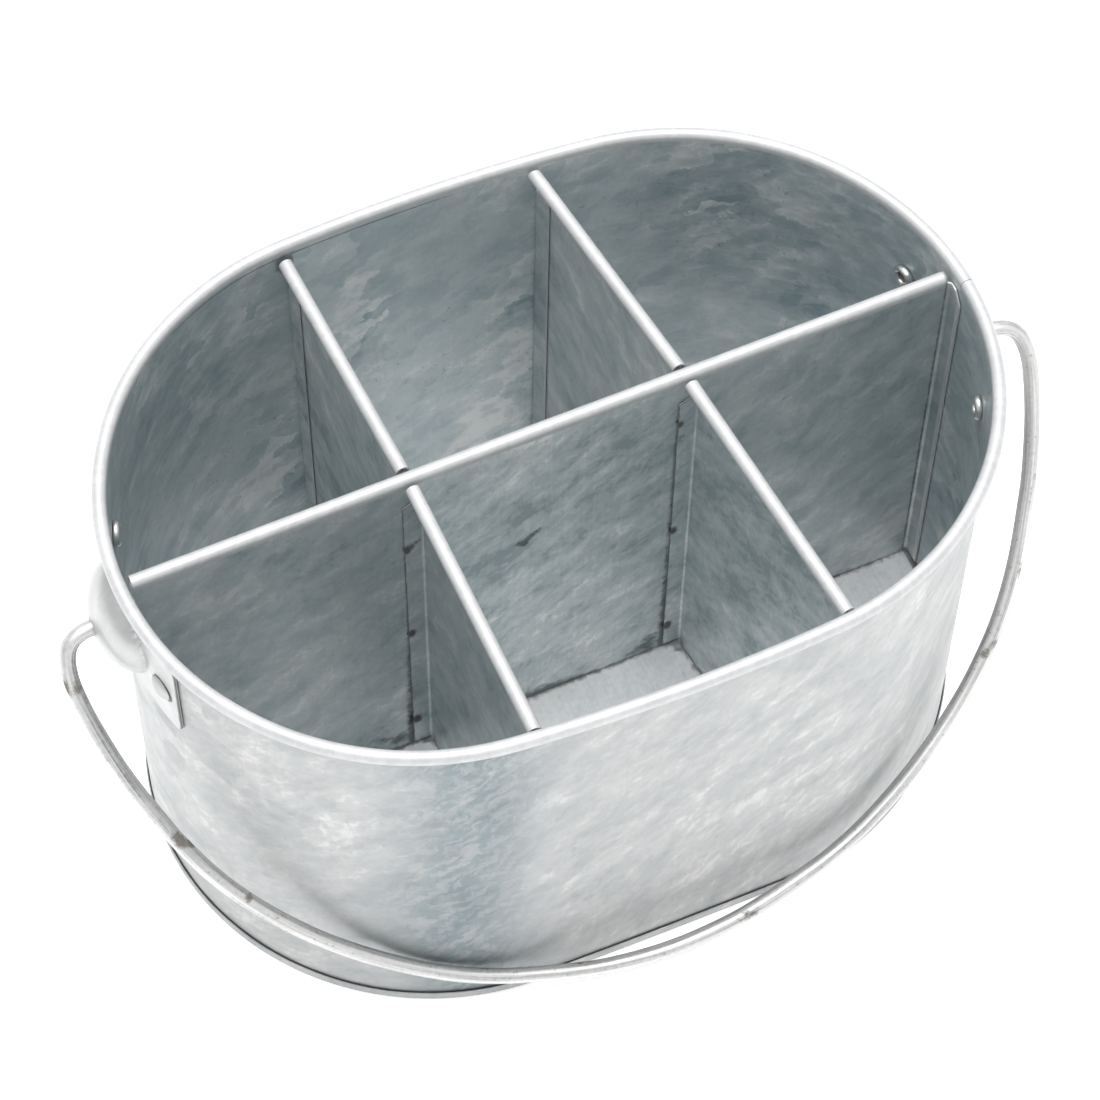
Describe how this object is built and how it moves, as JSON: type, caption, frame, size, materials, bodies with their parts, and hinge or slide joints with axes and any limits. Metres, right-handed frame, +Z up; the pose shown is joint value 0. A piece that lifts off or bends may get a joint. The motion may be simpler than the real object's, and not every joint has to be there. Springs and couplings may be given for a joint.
{
  "type": "table caddy",
  "caption": "Oval galvanised sheet-metal table caddy divided into compartments, with rolled edges, riveted end ears and a swinging wire bail handle.",
  "frame": {"origin": "centre of the underside of the base, on the table", "axes": "+X along the oval's long axis, +Z up, -Y the side on which the bail rests"},
  "size_m": [0.349, 0.2256, 0.1801],
  "materials": {
    "wall_sheet": "galvanised, mottled, satin",
    "base_sheet": "galvanised, scuffed",
    "divider_sheet": "galvanised, mottled, satin",
    "ear_sheet": "galvanised, satin",
    "rivet_metal": "plated, bright",
    "bail_wire": "galvanised wire, matt, drawn"
  },
  "bodies": {
    "body": {"tub_wall": "wall_sheet", "base_pan": "base_sheet", "long_divider": "divider_sheet", "rear_left_divider": "divider_sheet", "rear_right_divider": "divider_sheet", "front_left_divider": "divider_sheet", "front_right_divider": "divider_sheet", "left_ear": "ear_sheet", "right_ear": "ear_sheet", "left_front_rivet": "rivet_metal", "left_rear_rivet": "rivet_metal", "right_front_rivet": "rivet_metal", "right_rear_rivet": "rivet_metal"},
    "bail": {"bail_handle": "bail_wire"}
  },
  "joints": [
    {"name": "bail_swing", "type": "hinge", "parent": "body", "child": "bail", "pos_m": [0, 0, 0.15], "axis": [-0.9998, 0.0218, 0], "range_deg": [0, 280.4]}
  ]
}
